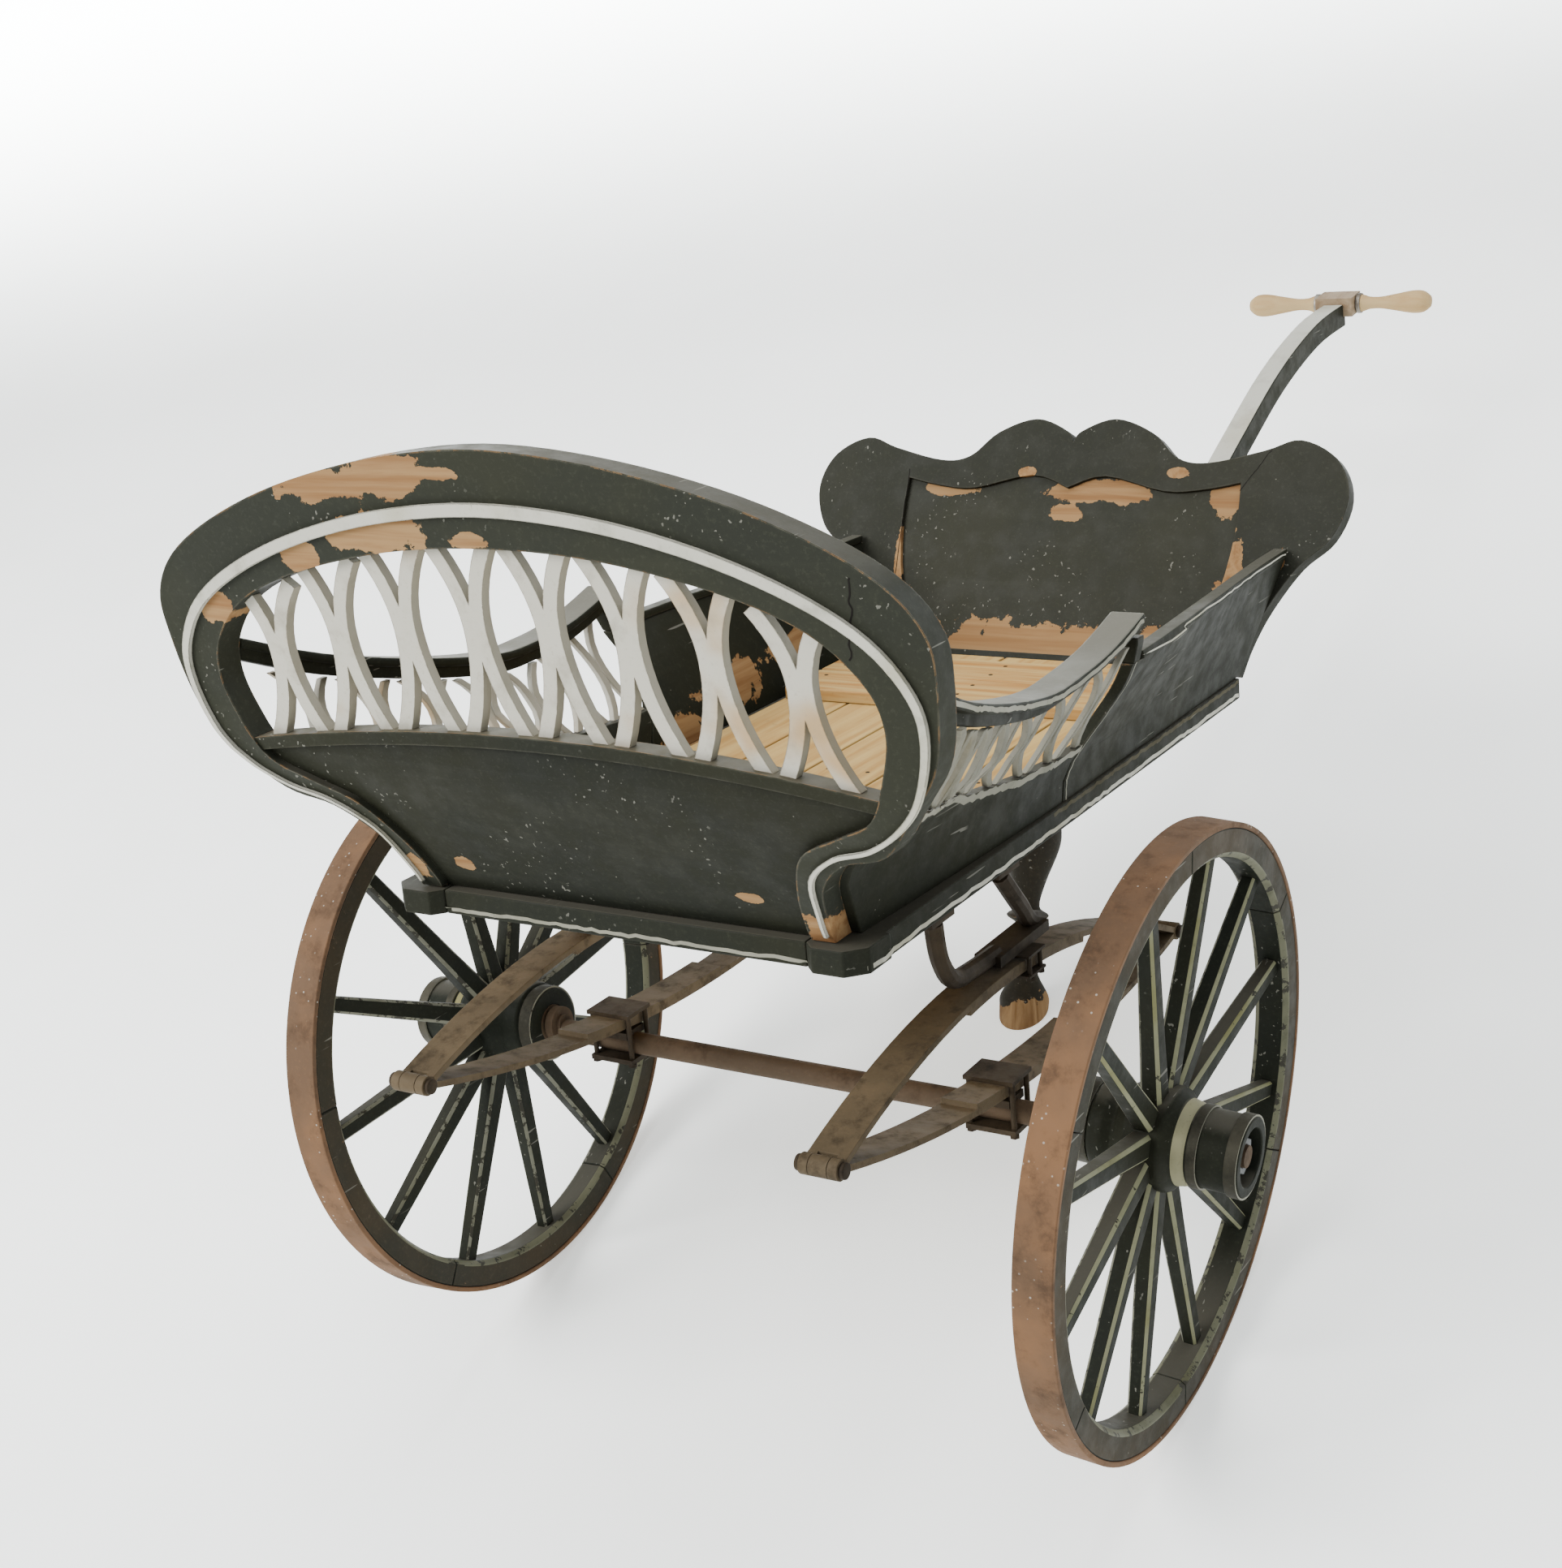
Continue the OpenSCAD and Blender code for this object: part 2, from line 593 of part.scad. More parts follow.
// Wheels, each about its own axis with its rim on x = 0
module turned(profile) {
    rotate([0, 90, 0]) rotate_extrude($fn = 96) polygon(profile);
}
module tyre(side) {
    color("indianred") at_wheel(side) turned([
        [wheel_r - tyre_t, -tyre_w / 2], [wheel_r, -tyre_w / 2],
        [wheel_r, tyre_w / 2], [wheel_r - tyre_t, tyre_w / 2]
    ]);
}
module felloes(side) {
    r1 = wheel_r - tyre_t - 0.1;
    r0 = r1 - felloe_d;
    w = tyre_w / 2 - 1;
    color("darkslategray") at_wheel(side) difference() {
        turned([[r0, -w + 5], [r0 + 4, -w], [r1, -w], [r1, w], [r0 + 4, w], [r0, w - 5]]);
        for (k = [0:felloe_count - 1])
            rotate([k * 360 / felloe_count + (side > 0 ? 3 : 27), 0, 0])
                translate([-30, -0.4, r0 - 20]) cube([60, 0.8, 80]);
    }
}
module spokes(side) {
    start = side > 0 ? left_spoke_turn : right_spoke_turn;
    root = hub_r - 3;
    tip = wheel_r - tyre_t - felloe_d + 3;
    half_section = [[0.68, 1], [-0.68, 1], [-1, 0.7], [-1, -0.7],
        [-0.68, -1], [0.68, -1], [1, -0.7], [1, 0.7]];
    color("darkslategray") at_wheel(side)
        for (k = [0:spoke_count - 1])
            rotate([k * 360 / spoke_count + start - 90, 0, 0]) loft([
                for (s = [[root, -dish, 10, 11.5], [root + 60, -dish * 0.72, 9, 10], [tip, 0, 7, 8]])
                    [for (c = half_section) [s[1] + c[0] * s[2], c[1] * s[3], s[0]]]
            ]);
}
module hub(side) {
    color("darkslategray") at_wheel(side) turned([
        [19.2, -80], [36, -80], [36, -64], [40, -62], [42, -50], [39, -40], [hub_r - 2, -31],
        [hub_r, -26], [hub_r, 4], [hub_r - 2, 8], [39, 13], [37, 22], [35, 25], [35, 73],
        [26, 73], [26, 50], [19.2, 50]
    ]);
}
module hub_bands(side) {
    color("ivory") at_wheel(side)
        for (band = [[-79, -65, 36], [27, 36, 35], [61, 72, 35]])
            turned([
                [band[2] + 0.1, band[0]], [band[2] + 2.2, band[0]],
                [band[2] + 2.2, band[1]], [band[2] + 0.1, band[1]]
            ]);
}
module hub_box(side) {
    bore = journal_r + journal_gap;
    color("dimgray") at_wheel(side) turned([[bore, -80], [19.1, -80], [19.1, 53], [bore, 53]]);
}

side_sill(-1);  // right_side_sill
side_sill(1);  // left_side_sill
front_sill();
rear_sill();
floor_boards();
floor_battens();
rear_planks();
front_panel();
front_hoop();
hoop_moulding();
front_rail();
front_lattice();
low_panel(-1);  // right_low_panel
low_panel(1);  // left_low_panel
rear_panel(-1);  // right_rear_panel
rear_panel(1);  // left_rear_panel
top_rail(-1);  // right_top_rail
top_rail(1);  // left_top_rail
arm_rail(-1);  // right_arm_rail
arm_rail(1);  // left_arm_rail
arm_post(-1);  // right_arm_post
arm_post(1);  // left_arm_post
arm_lattice(-1);  // right_arm_lattice
arm_lattice(1);  // left_arm_lattice
back_frame();
back_panel();
handle_pole();
handle_block();
grip(-1);  // right_grip
grip(1);  // left_grip
grip_rings();
prop_leg();
body_irons(-1);  // right_body_irons
body_irons(1);  // left_body_irons
top_clamp(-1);  // right_top_clamp
top_clamp(1);  // left_top_clamp
upper_spring(-1);  // right_upper_spring
upper_spring(1);  // left_upper_spring
lower_spring(-1);  // right_lower_spring
lower_spring(1);  // left_lower_spring
spring_bolts();
axle_clip(-1);  // right_axle_clip
axle_clip(1);  // left_axle_clip
axle();
axle_nuts();
tyre(-1);  // right_tyre
felloes(-1);  // right_felloes
spokes(-1);  // right_spokes
hub(-1);  // right_hub
hub_bands(-1);  // right_hub_bands
hub_box(-1);  // right_hub_box
tyre(1);  // left_tyre
felloes(1);  // left_felloes
spokes(1);  // left_spokes
hub(1);  // left_hub
hub_bands(1);  // left_hub_bands
hub_box(1);  // left_hub_box
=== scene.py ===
import json
import math

import bmesh
import bpy
from mathutils import Matrix, Vector, noise
from mathutils.bvhtree import BVHTree


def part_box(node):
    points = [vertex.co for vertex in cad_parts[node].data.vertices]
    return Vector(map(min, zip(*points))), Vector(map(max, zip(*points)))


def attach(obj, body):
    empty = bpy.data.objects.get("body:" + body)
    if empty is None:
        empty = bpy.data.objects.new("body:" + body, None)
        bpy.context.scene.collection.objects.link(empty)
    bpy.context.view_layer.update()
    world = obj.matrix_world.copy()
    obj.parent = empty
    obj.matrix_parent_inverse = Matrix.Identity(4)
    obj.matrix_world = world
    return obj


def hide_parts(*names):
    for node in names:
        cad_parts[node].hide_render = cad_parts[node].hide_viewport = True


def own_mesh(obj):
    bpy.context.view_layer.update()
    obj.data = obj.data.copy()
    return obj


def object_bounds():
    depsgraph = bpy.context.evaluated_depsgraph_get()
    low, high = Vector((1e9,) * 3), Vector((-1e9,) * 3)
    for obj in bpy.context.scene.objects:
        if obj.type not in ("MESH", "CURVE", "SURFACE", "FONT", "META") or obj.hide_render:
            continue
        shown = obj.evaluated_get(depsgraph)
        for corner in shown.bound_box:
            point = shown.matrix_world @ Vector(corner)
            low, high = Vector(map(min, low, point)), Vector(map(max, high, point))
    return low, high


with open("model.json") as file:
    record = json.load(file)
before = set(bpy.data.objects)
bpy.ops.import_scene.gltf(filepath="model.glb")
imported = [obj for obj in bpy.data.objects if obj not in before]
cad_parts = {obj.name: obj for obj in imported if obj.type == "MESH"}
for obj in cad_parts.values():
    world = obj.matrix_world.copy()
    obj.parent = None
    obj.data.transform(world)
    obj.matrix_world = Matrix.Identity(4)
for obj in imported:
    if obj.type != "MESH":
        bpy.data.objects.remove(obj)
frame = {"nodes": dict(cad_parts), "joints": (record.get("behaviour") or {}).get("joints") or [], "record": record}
box_before = [list(v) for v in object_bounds()]

MM = 0.001
NODES = frame["nodes"]
RECORD = frame["record"]
JOINTS = {j["name"]: j for j in frame["joints"]}
SLOT_OF = {s["node"]: s["material_slot"] for s in RECORD["subparts"]}
BODY_OF = {n: b for b, members in RECORD["behaviour"]["bodies"].items() for n in members}

# ---------------------------------------------------------------- frames
RISE = Vector(JOINTS["suspension"]["axis"]).normalized()
ACROSS = Vector((1, 0, 0))
REARWARD = RISE.cross(ACROSS).normalized()
AXLE = sum((Vector(JOINTS[s + "_wheel_spin"]["pos_m"]) for s in ("right", "left")), Vector()) / 2
TUB = Matrix((ACROSS, REARWARD, RISE)).transposed().to_4x4()
TUB.translation = AXLE
TILT = math.atan2(RISE.y, RISE.z)


def wheel_frame(side):
    """The wheel's own frame, with X along its axis and away from the carriage."""
    joint = JOINTS[side + "_wheel_spin"]
    centre = Vector(joint["pos_m"])
    axis = Vector(joint["axis"]).normalized()
    if axis.x * centre.x < 0:
        axis = -axis
    second = axis.cross(ACROSS.cross(Vector((0, 0, 1)))).normalized()
    place = Matrix((axis, axis.cross(second), second)).transposed().to_4x4()
    place.translation = centre
    return place


WHEEL = {side: wheel_frame(side) for side in ("right", "left")}


def corners(node):
    return [Vector(v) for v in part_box(node)]


def at(node, x, y, z):
    """A point given as shares of a CAD node's box."""
    low, high = corners(node)
    return Vector(low[i] + (high[i] - low[i]) * (x, y, z)[i] for i in range(3))


def vertices_in(node, place):
    back = place.inverted()
    return [back @ v.co for v in NODES[node].data.vertices]


def tub_box(node):
    points = vertices_in(node, TUB)
    return [Vector(f(p[i] for p in points) for i in range(3)) for f in (min, max)]


WHEEL_R = max(math.hypot(p.y, p.z) for p in vertices_in("left_tyre", WHEEL["left"]))


# ---------------------------------------------------------------- materials
OBJECT_DIM = 0.5
PAINT_GLOSS, PAINT_ROUGH = 0.09, 0.58
WOOD_ROUGH = 0.62
MATS = {}


def srgb(r, g, b, dim=OBJECT_DIM):
    """An sRGB colour as linear values, dimmed because the studio light is bright."""
    return tuple(dim * (((c / 255) + 0.055) / 1.055) ** 2.4 for c in (r, g, b)) + (1,)


class Graph:
    """A builder of one material's shader nodes. Textures sit in the row frame, in metres."""

    def __init__(self, name):
        self.mat = MATS[name] = bpy.data.materials.new(name)
        self.mat.use_nodes = True
        self.tree = self.mat.node_tree
        self.tree.nodes.clear()
        self.end = self.node("ShaderNodeOutputMaterial")
        self.shader = self.node("ShaderNodeBsdfPrincipled")
        self.tree.links.new(self.shader.outputs[0], self.end.inputs[0])
        self.geometry = self.node("ShaderNodeNewGeometry")
        self.where = self.node("ShaderNodeTexCoord").outputs["Object"]
        self.tub = self.place(turn=(TILT, 0, 0))

    def node(self, kind, **settings):
        item = self.tree.nodes.new(kind)
        for key, value in settings.items():
            setattr(item, key, value)
        return item

    def put(self, socket, value):
        if isinstance(value, bpy.types.NodeSocket):
            self.tree.links.new(value, socket)
        elif value is not None:
            socket.default_value = value

    def place(self, where=None, scale=(1, 1, 1), turn=(0, 0, 0)):
        item = self.node("ShaderNodeMapping")
        self.put(item.inputs[0], where or self.where)
        item.inputs["Rotation"].default_value = turn
        item.inputs["Scale"].default_value = scale
        return item.outputs[0]

    def noise(self, scale, detail=4, rough=0.55, where=None, twist=0.0):
        item = self.node("ShaderNodeTexNoise")
        self.put(item.inputs["Vector"], where or self.where)
        settings = {"Scale": scale, "Detail": detail, "Roughness": rough, "Distortion": twist}
        for key, value in settings.items():
            item.inputs[key].default_value = value
        return item.outputs[0]

    def cells(self, scale, where=None):
        """How far each place is from the nearest of many scattered points."""
        item = self.node("ShaderNodeTexVoronoi")
        self.put(item.inputs["Vector"], where or self.where)
        item.inputs["Scale"].default_value = scale
        return item.outputs["Distance"]

    def calc(self, op, a, b=None, c=None):
        item = self.node("ShaderNodeMath", operation=op)
        for socket, value in zip(item.inputs, (a, b, c)):
            self.put(socket, value)
        return item.outputs[0]

    def span(self, value, low, high, out_low=0.0, out_high=1.0):
        """A smooth step from out_low to out_high as the value goes from low to high."""
        item = self.node("ShaderNodeMapRange", interpolation_type="SMOOTHSTEP")
        for socket, v in zip(item.inputs, (value, low, high, out_low, out_high)):
            self.put(socket, v)
        return item.outputs[0]

    def mix(self, share, a, b):
        item = self.node("ShaderNodeMix", data_type="RGBA")
        self.put(item.inputs[0], share)
        self.put(item.inputs[6], a)
        self.put(item.inputs[7], b)
        return item.outputs[2]

    def dot(self, a, b):
        item = self.node("ShaderNodeVectorMath", operation="DOT_PRODUCT")
        self.put(item.inputs[0], a)
        self.put(item.inputs[1], b)
        return item.outputs["Value"]

    def facing(self, direction, low, high):
        """How far the surface faces a fixed direction of the row frame."""
        return self.span(self.dot(self.geometry.outputs["Normal"], tuple(direction)), low, high)

    def edges(self, reach=3.0):
        """High along the edges and corners, within a reach in mm."""
        bevel = self.node("ShaderNodeBevel", samples=5)
        bevel.inputs["Radius"].default_value = reach * MM
        agree = self.dot(bevel.outputs[0], self.geometry.outputs["Normal"])
        return self.span(agree, 0.985, 0.80)

    def spots(self, places, ragged=1.1, grain=34):
        """Ragged patches, each given as (centre, half sizes in mm)."""
        break_up = self.calc("MULTIPLY", self.calc("SUBTRACT", self.noise(grain, 6, 0.66), 0.5), ragged * 2)
        total = None
        for centre, halves in places:
            item = self.node("ShaderNodeMapping", vector_type="TEXTURE")
            self.put(item.inputs[0], self.where)
            item.inputs["Location"].default_value = centre
            item.inputs["Rotation"].default_value = (-TILT, 0, 0)
            item.inputs["Scale"].default_value = [h * MM for h in halves]
            length = self.node("ShaderNodeVectorMath", operation="LENGTH")
            self.put(length.inputs[0], item.outputs[0])
            near = self.calc("SUBTRACT", 1.0, length.outputs["Value"])
            total = near if total is None else self.calc("MAXIMUM", total, near)
        return self.span(self.calc("ADD", total, break_up), 0.02, 0.06)

    def finish(self, colour, rough, bump=None, height=0.4, metal=0.0, gloss=0.17):
        """Joins the colour, roughness and relief to the surface shader."""
        self.put(self.shader.inputs["Base Color"], colour)
        self.put(self.shader.inputs["Roughness"], rough)
        self.put(self.shader.inputs["Metallic"], metal)
        self.put(self.shader.inputs["Specular IOR Level"], gloss)
        self.put(self.shader.inputs["IOR"], 1.38)
        if bump is not None:
            item = self.node("ShaderNodeBump")
            item.inputs["Strength"].default_value = height
            item.inputs["Distance"].default_value = MM
            self.put(item.inputs["Height"], bump)
            self.put(self.shader.inputs["Normal"], item.outputs[0])


# Scales that draw a texture out along one axis of the tub
ALONG = {"x": (0.05, 1, 1), "y": (1, 0.05, 1), "z": (1, 1, 0.05)}


def wood_colour(g, light, dark, along="y", scale=90):
    """Bare wood with long grain, as (colour, grain)."""
    lines = g.place(g.tub, ALONG[along])
    grain = g.noise(scale, 5, 0.6, lines, 0.6)
    broad = g.noise(14, 3, 0.5, lines)
    colour = g.mix(g.span(grain, 0.35, 0.7), light, dark)
    return g.mix(g.span(broad, 0.4, 0.75, 0, 0.5), colour, g.mix(0.5, light, dark)), grain


def aged_paint(name, tone, pale, olive, spots=(), chips=0.5, edge=0.6, along="y", dust=0.35,
               wood=(srgb(190, 152, 106), srgb(158, 114, 74)), bare_side=None):
    """Old paint over wood: mottled, scuffed, specked, worn at its edges and chipped to the wood.

    The spots are bare patches. With a bare_side they stay off the faces that turn away from it.
    """
    g = Graph(name)
    broad, mid, fine = g.noise(5, 4), g.noise(38, 6, 0.62), g.noise(420, 3)
    colour = g.mix(g.span(broad, 0.38, 0.66, 0, 0.8), tone, olive)
    colour = g.mix(g.span(mid, 0.50, 0.80, 0, 0.16), colour, pale)
    streaks = g.noise(60, 5, 0.6, g.place(g.tub, ALONG[along]))
    colour = g.mix(g.span(streaks, 0.56, 0.76, 0, 0.10), colour, pale)
    colour = g.mix(g.span(g.noise(240, 6, 0.75), 0.50, 0.72, 0, 0.30), colour, pale)
    for turn, clear in (((0.5, 0.3, 0.9), 0.70), ((1.2, -0.6, 0.2), 0.72)):
        scratch = g.noise(210, 2, 0.4, g.place(g.tub, (1, 0.05, 1), turn))
        sparse = g.span(g.noise(9, 2), 0.50, 0.58)
        thin = g.calc("MULTIPLY", g.span(scratch, clear, clear + 0.015), sparse)
        colour = g.mix(g.calc("MULTIPLY", thin, 0.5), colour, srgb(172, 170, 158))
    ragged = g.calc("MULTIPLY_ADD", g.noise(480, 3), 0.30, g.cells(140))
    seen = g.calc("GREATER_THAN", g.noise(33, 3), 0.65)
    speck = g.calc("MULTIPLY", g.span(ragged, 0.245, 0.215), seen)
    colour = g.mix(g.calc("MULTIPLY", speck, 0.5), colour, srgb(176, 172, 156))
    upward = g.facing(RISE, 0.72, 0.98)
    colour = g.mix(g.calc("MULTIPLY", upward, dust), colour, srgb(138, 133, 120))
    bare, grain = wood_colour(g, wood[0], wood[1], along)
    worn = g.calc("MULTIPLY", g.edges(), edge)
    rubbed = g.calc("MULTIPLY", worn, g.span(g.noise(46, 5, 0.7), 0.38, 0.62, 0.15, 0.85))
    colour = g.mix(rubbed, colour, srgb(136, 132, 116))
    chip_field = g.calc("ADD", g.noise(55, 7, 0.7), g.calc("MULTIPLY", worn, 0.34))
    chip_level = 0.86 - 0.12 * chips
    chip = g.span(chip_field, chip_level, chip_level + 0.015)
    halo = g.span(chip_field, chip_level - 0.03, chip_level)
    patch = g.spots(spots) if spots else 0.0
    if bare_side:
        patch = g.calc("MULTIPLY", patch, g.facing(bare_side, -0.35, -0.1))
    chip = g.calc("MAXIMUM", chip, patch)
    colour = g.mix(g.calc("MULTIPLY", halo, 0.35), colour, srgb(120, 104, 84))
    colour = g.mix(chip, colour, bare)
    shine = g.span(mid, 0.3, 0.8, PAINT_ROUGH - 0.10, PAINT_ROUGH + 0.16)
    shine = g.calc("ADD", shine, g.calc("MULTIPLY", chip, 0.25))
    relief = g.calc("ADD", g.calc("MULTIPLY", chip, -0.35), g.calc("MULTIPLY", fine, 0.12))
    relief = g.calc("ADD", relief, g.calc("MULTIPLY", g.calc("ADD", streaks, grain), 0.12))
    g.finish(colour, shine, relief, 0.5, gloss=PAINT_GLOSS)


def bare_wood(name, light, dark, along, stain, stains, knots=0.0):
    """Unpainted wood with grain, stains, dirt and darker edges, and knots if asked."""
    g = Graph(name)
    colour, grain = wood_colour(g, light, dark, along, 70)
    soft = g.noise(9, 5, 0.6, g.place(g.tub, [max(v, 0.25) for v in ALONG[along]]))
    colour = g.mix(g.span(soft, 0.50, 0.75, 0, stains), colour, stain)
    if knots:
        knot = g.cells(9, g.place(g.tub, [max(v, 0.4) for v in ALONG[along]]))
        eye = g.span(knot, 0.16, 0.05, 0, knots)
        colour = g.mix(eye, colour, srgb(140, 74, 36))
    dirt = g.span(g.noise(120, 5, 0.7), 0.60, 0.78, 0, 0.4)
    colour = g.mix(dirt, colour, srgb(96, 78, 58))
    colour = g.mix(g.calc("MULTIPLY", g.edges(2), 0.35), colour, srgb(112, 92, 68))
    shine = g.span(soft, 0.3, 0.8, WOOD_ROUGH - 0.1, WOOD_ROUGH + 0.15)
    g.finish(colour, shine, g.calc("MULTIPLY", grain, 0.3), 0.35)


def pale_paint(name, base, stain, dark, stains=0.55, wear=0.6, chips=0.35,
               under=srgb(70, 68, 58), side_shade_and_thin_paint=0.0):
    """Cream or grey-white paint, stained and rubbed thin. If asked, it is darker on the sides that face across:
    partly painted shade and partly thinner paint.
    """
    g = Graph(name)
    mid, fine = g.noise(30, 6, 0.62), g.noise(260, 4, 0.6)
    colour = g.mix(g.span(g.noise(8, 3), 0.52, 0.70, 0, stains), base, stain)
    colour = g.mix(g.span(mid, 0.50, 0.78, 0, 0.5), colour, dark)
    colour = g.mix(g.span(fine, 0.55, 0.75, 0, 0.25), colour, dark)
    worn = g.calc("ADD", g.noise(70, 7, 0.7), g.calc("MULTIPLY", g.edges(2), wear * 0.4))
    chip_level = 0.80 - 0.16 * chips
    chip = g.span(worn, chip_level, chip_level + 0.02)
    colour = g.mix(chip, colour, under)
    # Painted shade: the sides that face across are darkened, partly for their shadow and partly for thinner paint
    # there.
    if side_shade_and_thin_paint:
        sideways = g.calc("ABSOLUTE", g.dot(g.geometry.outputs["Normal"], tuple(ACROSS)))
        colour = g.mix(g.span(sideways, 0.5, 0.9, 0, side_shade_and_thin_paint), colour, dark)
    relief = g.calc("ADD", g.calc("MULTIPLY", chip, -0.3), g.calc("MULTIPLY", mid, 0.3))
    g.finish(colour, g.span(mid, 0.3, 0.8, 0.45, 0.7), relief, 0.4)


def rusty(name, tone, light, dark, specks=0.0, rough=0.72, metal=0.1, scale=26, spots=(), spot_tone=None):
    """Old iron: mottled, pitted and, if asked, specked with pale paint."""
    g = Graph(name)
    broad, mid, fine = g.noise(7, 5, 0.6), g.noise(scale, 7, 0.68), g.noise(300, 5, 0.6)
    colour = g.mix(g.span(broad, 0.38, 0.68), tone, light)
    colour = g.mix(g.span(mid, 0.48, 0.74, 0, 0.75), colour, dark)
    colour = g.mix(g.span(fine, 0.52, 0.74, 0, 0.35), colour, light)
    if specks:
        dots = g.cells(150)
        seen = g.span(g.noise(16, 3), 0.50, 0.62)
        dot = g.calc("MULTIPLY", g.span(dots, 0.17, 0.11), seen)
        colour = g.mix(g.calc("MULTIPLY", dot, specks), colour, srgb(214, 206, 192))
    if spots:
        colour = g.mix(g.spots(spots, 0.5, 60), colour, spot_tone)
    relief = g.calc("ADD", g.calc("MULTIPLY", mid, 0.6), g.calc("MULTIPLY", fine, 0.25))
    shine = g.span(mid, 0.3, 0.8, rough - 0.1, min(rough + 0.15, 0.95))
    g.finish(colour, shine, relief, 0.55, metal)


CHARCOAL, OLIVE, SCUFFED = srgb(44, 46, 38), srgb(50, 50, 36), srgb(78, 80, 66)


def patches(node, places):
    """Bare patches of a node: each place is shares of its box, with half sizes in mm."""
    return [(at(node, *share), halves) for share, halves in places]


def side_patches():
    """The inside of the right side, where the paint has worn away behind the lattice."""
    rear = [((0.86, 0.33, 0.50), (40, 60, 26)), ((0.8, 0.12, 0.55), (40, 40, 22)),
            ((0.9, 0.6, 0.35), (40, 70, 18))]
    low = [((0.6, 0.55, 0.55), (40, 60, 22)), ((0.6, 0.30, 0.62), (40, 36, 16)),
           ((0.6, 0.8, 0.5), (40, 30, 22))]
    return patches("right_rear_panel", rear) + patches("right_low_panel", low)


def hoop_patches():
    outer = [((0.30, 0.6, 0.935), (55, 90, 17)), ((0.385, 0.6, 0.95), (48, 90, 17))]
    inner = [((0.24, 0.43, 0.795), (22, 60, 13)), ((0.35, 0.47, 0.845), (48, 60, 18)),
             ((0.478, 0.47, 0.836), (19, 60, 7)), ((0.092, 0.30, 0.684), (20, 60, 14))]
    tail = [((0.445, 0.6, 0.957), (28, 90, 6))]
    legs = [((0.227, 0.33, 0.082), (10, 40, 14)), ((0.785, 0.30, 0.035), (24, 60, 22)),
            ((0.17, 0.3, 0.36), (14, 40, 7))]
    return patches("front_hoop", outer + inner + tail + legs)


def panel_patches():
    top = [((0.145, 0.87, 0.925), (40, 60, 9)), ((0.60, 0.88, 0.93), (60, 60, 13)),
           ((0.495, 0.75, 0.80), (22, 60, 9)), ((0.96, 0.88, 0.92), (16, 60, 26))]
    foot = [((0.50, 0.03, 0.02), (230, 60, 34)), ((0.03, 0.1, 0.10), (22, 60, 50)),
            ((0.97, 0.1, 0.30), (12, 60, 40))]
    return patches("back_panel", top + foot)


def stile_patches():
    stiles = [((0.805, 0.5, 0.60), (9, 60, 22)), ((0.815, 0.38, 0.44), (13, 60, 36)),
              ((0.19, 0.4, 0.45), (7, 60, 40))]
    scrolls = [((0.70, 0.72, 0.80), (12, 60, 5)), ((0.42, 0.7, 0.80), (10, 60, 6)),
               ((0.9, 0.4, 0.5), (5, 60, 12))]
    return patches("back_frame", stiles + scrolls)


# Dark paint on wood
aged_paint("dark_paint", CHARCOAL, SCUFFED, OLIVE, side_patches(), chips=0.45, edge=0.5, bare_side=ACROSS)
aged_paint("front_paint", srgb(41, 43, 36), SCUFFED, srgb(47, 47, 34),
           patches("front_panel", [((0.73, 0.57, 0.225), (13, 40, 6)), ((0.249, 0.6, 0.19), (12, 40, 9))]),
           chips=0.2, edge=0.3, along="x")
aged_paint("hoop_paint", srgb(54, 56, 48), srgb(88, 90, 76), srgb(59, 60, 48), hoop_patches(),
           chips=0.45, edge=0.85, along="x", bare_side=-REARWARD)
aged_paint("back_paint", srgb(57, 58, 50), srgb(86, 88, 75), srgb(63, 63, 52), panel_patches(),
           chips=0.2, edge=0.2, along="x", bare_side=-REARWARD)
aged_paint("stile_paint", srgb(54, 55, 47), srgb(86, 88, 75), srgb(59, 59, 50), stile_patches(),
           chips=0.4, edge=0.45, bare_side=-REARWARD)
aged_paint("leg_paint", srgb(64, 61, 52), srgb(104, 96, 80), srgb(54, 50, 42),
           patches("prop_leg", [((0.5, 0.1, 0.0), (60, 60, 26))]), chips=0.6, edge=0.8, along="z",
           wood=(srgb(196, 160, 116), srgb(140, 104, 68)))
# Painted highlight: the light grey for the arm rails' top faces, where light from above falls, with its own dust,
# chips and worn edges.
aged_paint("rail_top_highlight", srgb(134, 135, 125), srgb(168, 166, 154), srgb(112, 112, 102),
           chips=0.55, edge=0.9, dust=0.5)
aged_paint("rail_dark", srgb(78, 79, 70), srgb(112, 110, 98), srgb(64, 64, 54),
           chips=0.6, edge=0.9, dust=0.25)
aged_paint("rail_worn", srgb(92, 86, 62), srgb(120, 112, 86), srgb(74, 68, 48),
           chips=0.8, edge=0.9, along="x")
aged_paint("wheel_paint", srgb(38, 41, 34), srgb(74, 78, 64), srgb(46, 46, 34),
           chips=0.35, edge=0.45, along="z")
aged_paint("felloe_paint", srgb(62, 60, 50), srgb(104, 94, 76), srgb(84, 72, 54),
           chips=1.5, edge=1.0, along="z", wood=(srgb(150, 122, 94), srgb(112, 86, 62)))

